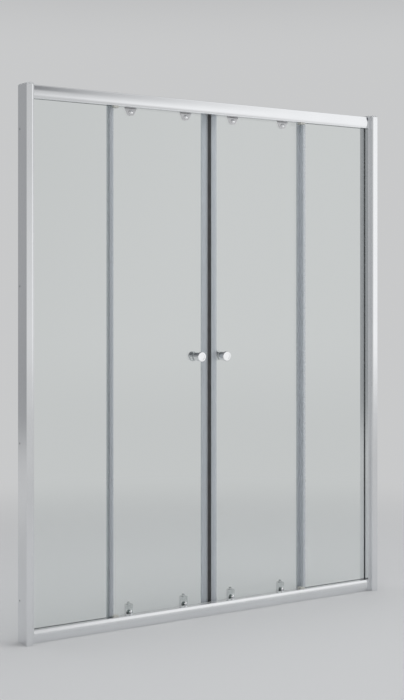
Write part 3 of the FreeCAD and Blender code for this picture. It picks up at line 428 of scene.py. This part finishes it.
def add_sheet(curve, low, high):
    """Add an oblong sheet to a flat curve."""
    spline = curve.splines.new("POLY")
    spline.points.add(3)
    spline.use_cyclic_u = True
    around = ((low.x, low.z), (high.x, low.z), (high.x, high.z), (low.x, high.z))
    for point, (x, z) in zip(spline.points, around):
        point.co = (x, z, 0, 1)


def add_hole(curve, x, z, radius):
    """Add a round hole to a flat curve."""
    spline = curve.splines.new("BEZIER")
    spline.bezier_points.add(3)
    spline.use_cyclic_u = True
    for index, point in enumerate(spline.bezier_points):
        angle = math.radians(90) * index
        point.co = (x + radius * math.cos(angle), z + radius * math.sin(angle), 0)
        point.handle_left_type = point.handle_right_type = "AUTO"


def pane_mesh(name, node, holes, sizes):
    """A pane as large as its node, drilled, with a narrow ground bevel along every edge."""
    arris = sizes.pane_arris
    low, high = corners(node)
    curve = bpy.data.curves.new(name, "CURVE")
    curve.dimensions = "2D"
    curve.fill_mode = "BOTH"
    curve.extrude = (high.y - low.y) / 2 - arris - sizes.pane_relief
    curve.bevel_depth = arris
    curve.bevel_resolution = 0
    curve.offset = -arris
    add_sheet(curve, low, high)
    for hole in holes:
        add_hole(curve, *hole)
    mesh = mesh_of(curve)
    mesh.transform(Matrix.Translation((0, middle(node).y, 0)) @ QUARTER_TURN)
    mesh.shade_flat()
    return mesh


def door_holes(side, sizes):
    """Where a door's pane is drilled: for its knob and, at two places, for its rollers."""
    knob = middle(f"{side}_outer_knob")
    holes = [(knob.x, knob.z, sizes.knob_hole)]
    for which in ("inner", "outer"):
        x = middle(f"{side}_{which}_bottom_wheel").x
        holes.append((x, sizes.top_hole_height, sizes.top_hole))
        holes.append((x, sizes.bottom_hole_height, sizes.bottom_hole))
    return holes


def coil_mesh(name, node, sizes):
    """A coil as large as its node, with flat turns at its ends."""
    low, high = corners(node)
    wire = sizes.coil_wire / 2
    radius = (high.x - low.x) / 2 - wire
    rise = high.z - low.z - sizes.coil_wire
    working = sizes.coil_turns - 2 * sizes.coil_flat
    curve = bpy.data.curves.new(name, "CURVE")
    curve.dimensions = "3D"
    curve.bevel_depth = wire
    curve.bevel_resolution = 2
    curve.use_fill_caps = True
    spline = curve.splines.new("POLY")
    spline.points.add(sizes.coil_turns * COIL_STEPS)
    centre = middle(node)
    for index, point in enumerate(spline.points):
        turn = index / COIL_STEPS
        angle = 2 * math.pi * turn
        climb = min(max((turn - sizes.coil_flat) / working, 0), 1)
        point.co = (
            centre.x + radius * math.cos(angle),
            centre.y + radius * math.sin(angle),
            low.z + wire + rise * climb,
            1,
        )
    mesh = mesh_of(curve)
    mesh.shade_smooth()
    return mesh


def travel(joint):
    """How far a sliding joint goes."""
    found = next(item for item in frame["joints"] if item["name"] == joint)
    return found["range_m"][1]


def dress(material, *names):
    """Give carried-over nodes their finish."""
    for name in names:
        node = frame["nodes"][name]
        node.data.materials.clear()
        node.data.materials.append(material)


def each_side(*names):
    """The left and the right node of each name."""
    return [f"{side}_{name}" for name in names for side in SIDES]


def colours():
    """The door's colours as they stand."""
    return bpy.context.scene.door_colours


class DressOperator(bpy.types.Operator):
    """What the steps that finish the door share"""

    bl_options = {"REGISTER", "UNDO"}


class DOOR_OT_frame_metal(DressOperator):
    """Polish the rails, wall channels and posts, and finish the end caps"""

    bl_idname = "door.frame_metal"
    bl_label = "Rails and jambs"

    def execute(self, context):
        tone = colours().aluminium
        rail = polished_metal("polished_rail", tone, roughness=0.09, along="X")
        dress(rail, "header_rail", "bottom_rail")
        jamb = polished_metal("polished_jamb", tone, roughness=0.09, along="Z")
        dress(jamb, *each_side("wall_channel", "jamb_post"))
        cap = moulded("silver_cap", colours().cap, roughness=0.25, grain=500, depth=0.03)
        dress(cap, "jamb_end_caps", "screw_caps")
        return {"FINISHED"}


class DOOR_OT_panes(DressOperator):
    """Glaze the two fixed panes and the two doors"""

    bl_idname = "door.panes"
    bl_label = "Panes"

    def execute(self, context):
        glass = pane_glass("clear_pane", colours().glass_tint, colours().glass_edge)
        sizes = context.scene.door_sizes
        for side in SIDES:
            node = f"{side}_fixed_glass"
            pane = pane_mesh(f"{side}_fixed_pane", node, [], sizes)
            put(f"{side}_fixed_pane", pane, glass, "frame", node)
            node = f"{side}_door_glass"
            pane = pane_mesh(f"{side}_door_pane", node, door_holes(side, sizes), sizes)
            put(f"{side}_door_pane", pane, glass, f"{side}_door", node)
        return {"FINISHED"}


class DOOR_OT_clear_profiles(DressOperator):
    """Finish the edge strips, the rear seals, the magnet seals and their magnets"""

    bl_idname = "door.clear_profiles"
    bl_label = "Seals and edge strips"

    def execute(self, context):
        clear = clear_plastic("clear_profile", colours().clear_profile)
        dress(clear, "fixed_edge_strips", *each_side("magnet_carrier", "rear_seal"))
        magnet = moulded("magnet_strip", colours().magnet, roughness=0.5, grain=700, depth=0.1)
        dress(magnet, *each_side("magnet_strip"))
        return {"FINISHED"}


class DOOR_OT_trim(DressOperator):
    """Finish the clips, gaskets, slot covers and stops"""

    bl_idname = "door.trim"
    bl_label = "Clips, gaskets, covers and stops"

    def execute(self, context):
        clip = moulded("clip_plastic", colours().clip, roughness=0.35, grain=600, depth=0.05)
        dress(clip, "glass_clips")
        gasket = moulded("gasket_rubber", colours().gasket, roughness=0.55, grain=900, depth=0.1)
        dress(gasket, "jamb_gaskets", "rail_gaskets")
        cover = moulded("slot_cover", colours().slot_cover, roughness=0.35, grain=700, depth=0.05)
        dress(cover, "slot_cover_strips")
        stop = moulded("stop_rubber", colours().rubber, roughness=0.6, grain=900, depth=0.15)
        dress(stop, "door_stops")
        return {"FINISHED"}


class DOOR_OT_knobs(DressOperator):
    """Plate the knobs and the roller bolts, and finish the knobs' bushes"""

    bl_idname = "door.knobs"
    bl_label = "Knobs and bolts"

    def execute(self, context):
        chrome = plated_metal("chrome_plate", colours().chrome, roughness=0.035)
        dress(chrome, *each_side("outer_knob", "inner_knob", "roller_bolts"))
        bush = moulded("bush_plastic", colours().bush, roughness=0.3, grain=700, depth=0.04)
        dress(bush, *each_side("knob_bushes"))
        return {"FINISHED"}


class DOOR_OT_rollers(DressOperator):
    """Finish the wheels, brackets, pins, release units and screws"""

    bl_idname = "door.rollers"
    bl_label = "Rollers and screws"

    def execute(self, context):
        nylon = moulded("nylon_wheel", colours().nylon, roughness=0.32, grain=800, depth=0.04)
        dress(nylon, *each_side("top_wheel_1", "top_wheel_2", "top_wheel_3", "top_wheel_4"))
        dress(nylon, *each_side("inner_bottom_wheel", "outer_bottom_wheel"))
        release = plated_metal("release_plate", colours().release, roughness=0.16)
        dress(release, *each_side("release_housings"))
        dress(release, *each_side("inner_release_slider", "outer_release_slider"))
        bracket = brushed_steel("bracket_steel", colours().steel, along="X")
        dress(bracket, *each_side("top_brackets", "axle_pins"))
        screw = brushed_steel("screw_steel", colours().steel, along="Z")
        dress(screw, "corner_screws", "channel_screws")
        return {"FINISHED"}


class DOOR_OT_coils(DressOperator):
    """Wind the coils under the release buttons"""

    bl_idname = "door.coils"
    bl_label = "Release coils"

    def execute(self, context):
        wire = brushed_steel("coil_wire", colours().steel, along="Z")
        for side in SIDES:
            for which in ("inner", "outer"):
                self.wind(f"{side}_{which}", f"{side}_door", wire, context.scene.door_sizes)
        return {"FINISHED"}

    def wind(self, place, body, wire, sizes):
        """One coil, seated at its foot"""
        node, joint = f"{place}_release_spring", f"{place}_release"
        low, high = corners(node)
        mesh = coil_mesh(f"{place}_coil", node, sizes)
        coil = put(f"{place}_coil", mesh, wire, body, node)
        1 - travel(joint) / (high.z - low.z)
        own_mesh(coil)


class DOOR_OT_studio(bpy.types.Operator):
    """Set up the floor, the soft light and the camera"""

    bl_idname = "door.studio"
    bl_label = "Studio"

    def execute(self, context):
        stage = context.scene.door_stage
        lay_floor(stage)
        light_world(context.scene, stage)
        hang_top_light(stage)
        stand_front_light(stage)
        place_camera(context.scene, stage)
        return {"FINISHED"}


def lay_floor(stage):
    """A wide pale floor that gives way to the distance."""
    half_width, squares = 60.0, 40
    mesh = bmesh.new()
    bmesh.ops.create_grid(mesh, x_segments=squares, y_segments=squares, size=half_width)
    data = bpy.data.meshes.new("studio_floor")
    mesh.to_mesh(data)
    mesh.free()
    floor = bpy.data.objects.new("studio_floor", data)
    bpy.context.scene.collection.objects.link(floor)
    material, finish = new_finish("studio_floor")
    near = finish.principled(Base_Color=opaque(stage.floor), Roughness=0.9)
    place = finish.read("ShaderNodeTexCoord", "Object")
    reach = finish.vector("LENGTH", place, output="Value")
    shaded = finish.eased(reach, *SHADE_FADE)
    tone = finish.mixed(shaded, stage.backdrop, distance(finish, place, stage))
    far = finish.shader("ShaderNodeEmission", Color=tone)
    finish.end(finish.layered(finish.eased(reach, *FLOOR_FADE), near, far))
    floor.data.materials.append(material)


def front_heading(stage):
    """The level direction in which the wide soft light stands."""
    return Vector((math.sin(stage.glow_turn), -math.cos(stage.glow_turn), 0))


def towards_light(finish, place, stage):
    """How far a place lies towards the wide soft light, from -1 to 1."""
    heading = finish.vector("NORMALIZE", finish.vector("MULTIPLY", place, (1, 1, 0)))
    return finish.vector("DOT_PRODUCT", heading, front_heading(stage), output="Value")


def distance(finish, place, stage):
    """The tone of the distance, which falls off on the side away from the wide soft light."""
    away = finish.eased(towards_light(finish, place, stage), *SHADE_SIDE)
    return finish.mixed(away, stage.backdrop, stage.shade)


def light_world(scene, stage):
    """The distance at eye level and, above all views, a dark ceiling, higher over the light."""
    world = bpy.data.worlds.new("studio_world")
    world.use_nodes = True
    finish = Finish(world.node_tree)
    direction = finish.read("ShaderNodeTexCoord", "Generated")
    lit = finish.eased(towards_light(finish, direction, stage), *CEILING_SIDE)
    upward = finish.eased(finish.along("Z", direction) - lit * CEILING_RISE, *CEILING_EDGE)
    tone = finish.mixed(upward, distance(finish, direction, stage), stage.ceiling)
    finish.end(finish.shader("ShaderNodeBackground", Color=tone), "ShaderNodeOutputWorld")
    scene.world = world
    scene.view_settings.view_transform = "Standard"


def add_softbox(name, size, power, place, facing):
    """A soft box out of the camera's sight."""
    light = bpy.data.lights.new(name, "AREA")
    light.shape = "RECTANGLE"
    light.size, light.size_y = size
    light.energy = power
    lamp = bpy.data.objects.new(name, light)
    bpy.context.scene.collection.objects.link(lamp)
    lamp.location = place
    lamp.rotation_euler = facing.to_track_quat("-Z", "Y").to_euler()
    lamp.visible_camera = False
    return lamp


def hang_top_light(stage):
    """A soft box overhead, which bright metal doesn't show."""
    place, down = Vector((0, -0.5, 4.3)), Vector((0, 0, -1))
    lamp = add_softbox("top_softbox", (5.0, 5.0), stage.top_power, place, down)
    lamp.visible_glossy = False


def stand_front_light(stage):
    """A wide soft light in front on the right, whose left edge leans and fades."""
    heading = front_heading(stage)
    place = heading * GLOW_REACH + Vector((0, 0, GLOW_HEIGHT / 2))
    power = stage.glow * GLOW_WIDTH * GLOW_HEIGHT * math.pi
    lamp = add_softbox("front_softbox", (GLOW_WIDTH, GLOW_HEIGHT), power, place, -heading)
    lamp.data.use_nodes = True
    finish = Finish(lamp.data.node_tree)
    spot = finish.read("ShaderNodeNewGeometry", "Parametric")
    across, upward = finish.along("X", spot), finish.along("Y", spot)
    sideways = finish.eased(across - upward * GLOW_LEAN, *GLOW_LEFT)
    lit = sideways * finish.eased(upward, *GLOW_FOOT)
    tone = finish.mixed(lit, (0, 0, 0), (1, 1, 1))
    finish.end(finish.shader("ShaderNodeEmission", Color=tone), "ShaderNodeOutputLight")


def place_camera(scene, stage):
    """A level camera to the left of the door, a little above its knobs."""
    data = bpy.data.cameras.new("eye")
    data.lens = stage.lens
    data.shift_y = -HORIZON_DROP / PICTURE_HEIGHT
    data.clip_end = 200
    camera = bpy.data.objects.new("eye", data)
    scene.collection.objects.link(camera)
    camera.location = EYE
    camera.rotation_euler = (math.radians(90), 0, math.radians(-EYE_TURN))
    scene.camera = camera


class DOOR_PT_panel(bpy.types.Panel):
    """Lists the door's colours, sizes, stage and steps"""

    bl_idname = "DOOR_PT_panel"
    bl_label = "Shower Door"
    bl_space_type = "VIEW_3D"
    bl_region_type = "UI"
    bl_category = "Shower Door"

    def draw(self, context):
        for name in GROUPS:
            group = getattr(context.scene, name)
            box = self.layout.box()
            for value in group.__annotations__:
                box.prop(group, value)
        for step in STEPS:
            self.layout.operator(step.bl_idname)


GROUPS = {"door_colours": DoorColours, "door_sizes": DoorSizes, "door_stage": DoorStage}
STEPS = (
    DOOR_OT_frame_metal, DOOR_OT_panes, DOOR_OT_clear_profiles, DOOR_OT_trim,
    DOOR_OT_knobs, DOOR_OT_rollers, DOOR_OT_coils, DOOR_OT_studio,
)


def register():
    """Register the classes and hang the groups on the scene."""
    for item in (*GROUPS.values(), *STEPS, DOOR_PT_panel):
        bpy.utils.register_class(item)
    for name, group in GROUPS.items():
        setattr(bpy.types.Scene, name, PointerProperty(type=group))


def unregister():
    """Take the groups and classes away again."""
    for name in GROUPS:
        delattr(bpy.types.Scene, name)
    for item in (DOOR_PT_panel, *reversed(STEPS), *GROUPS.values()):
        bpy.utils.unregister_class(item)


def main():
    """Build the door and its studio."""
    register()
    for step in STEPS:
        family, name = step.bl_idname.split(".")
        getattr(getattr(bpy.ops, family), name)()


if __name__ == "__main__":
    main()
